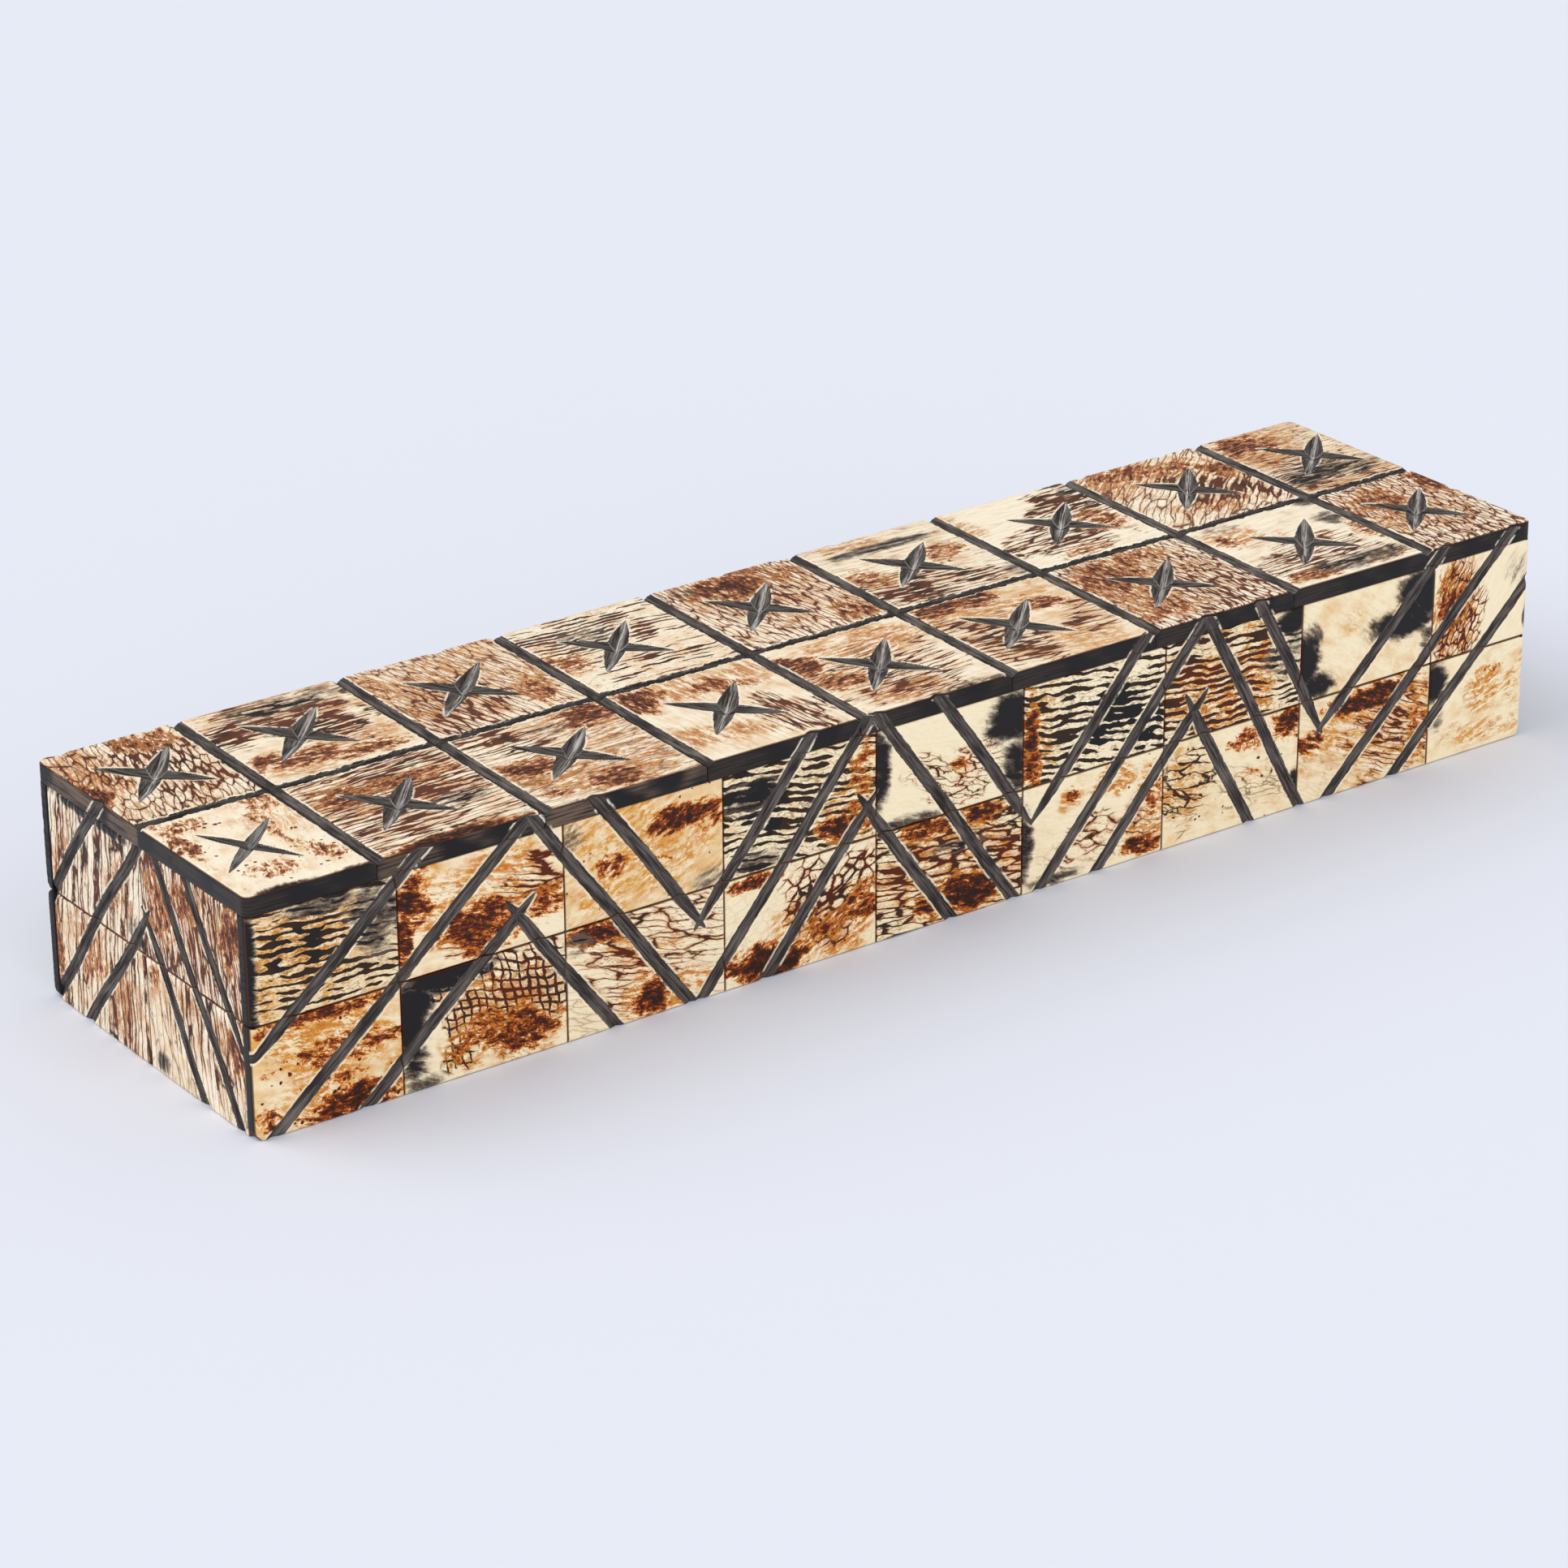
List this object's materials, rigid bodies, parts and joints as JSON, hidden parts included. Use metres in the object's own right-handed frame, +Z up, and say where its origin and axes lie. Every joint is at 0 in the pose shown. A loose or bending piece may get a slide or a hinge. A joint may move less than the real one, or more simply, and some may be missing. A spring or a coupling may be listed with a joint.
{
  "type": "inlaid wooden box",
  "caption": "Long low wooden box with a hinged lid, faced all over with carved and dyed bone tiles.",
  "frame": {"origin": "middle of the underside", "axes": "+X along the box, +Y towards the hinges at the back, +Z up"},
  "size_m": [0.305, 0.075, 0.048],
  "materials": {
    "bone_slab": "polished carved bone slab, scorched and dyed, with dark cut lines",
    "bone_tile": "polished bone tile, scorched and dyed, with dark cut lines",
    "wood": "stained board, open grain",
    "brass": "satin, slightly tarnished"
  },
  "bodies": {
    "base": {"base_panel": "wood", "base_front_board": "wood", "base_back_board": "wood", "base_left_board": "wood", "base_right_board": "wood", "front_base_tile_1": "bone_tile", "front_base_tile_2": "bone_tile", "front_base_tile_3": "bone_tile", "front_base_tile_4": "bone_tile", "front_base_tile_5": "bone_tile", "front_base_tile_6": "bone_tile", "front_base_tile_7": "bone_tile", "front_base_tile_8": "bone_tile", "front_base_tile_9": "bone_tile", "left_base_tile_back": "bone_tile", "left_base_tile_front": "bone_tile", "right_base_tiles": "bone_tile", "back_base_tiles": "bone_tile", "left_hinge_base_leaf": "brass", "right_hinge_base_leaf": "brass", "left_hinge_pin": "brass", "right_hinge_pin": "brass"},
    "lid": {"lid_panel": "wood", "lid_front_board": "wood", "lid_back_board": "wood", "lid_left_board": "wood", "lid_right_board": "wood", "top_slab_front_1": "bone_slab", "top_slab_front_2": "bone_slab", "top_slab_front_3": "bone_slab", "top_slab_front_4": "bone_slab", "top_slab_front_5": "bone_slab", "top_slab_front_6": "bone_slab", "top_slab_front_7": "bone_slab", "top_slab_front_8": "bone_slab", "top_slab_front_9": "bone_slab", "top_slab_back_1": "bone_slab", "top_slab_back_2": "bone_slab", "top_slab_back_3": "bone_slab", "top_slab_back_4": "bone_slab", "top_slab_back_5": "bone_slab", "top_slab_back_6": "bone_slab", "top_slab_back_7": "bone_slab", "top_slab_back_8": "bone_slab", "top_slab_back_9": "bone_slab", "front_lid_tile_1": "bone_tile", "front_lid_tile_2": "bone_tile", "front_lid_tile_3": "bone_tile", "front_lid_tile_4": "bone_tile", "front_lid_tile_5": "bone_tile", "front_lid_tile_6": "bone_tile", "front_lid_tile_7": "bone_tile", "front_lid_tile_8": "bone_tile", "front_lid_tile_9": "bone_tile", "left_lid_tile_back": "bone_tile", "left_lid_tile_front": "bone_tile", "right_lid_tiles": "bone_tile", "back_lid_tiles": "bone_tile", "left_hinge_lid_leaf": "brass", "right_hinge_lid_leaf": "brass"}
  },
  "joints": [
    {"name": "lid_hinge", "type": "hinge", "parent": "base", "child": "lid", "pos_m": [0, 0.0354, 0.02255], "axis": [-1, 0, 0], "range_deg": [0, 95]}
  ]
}
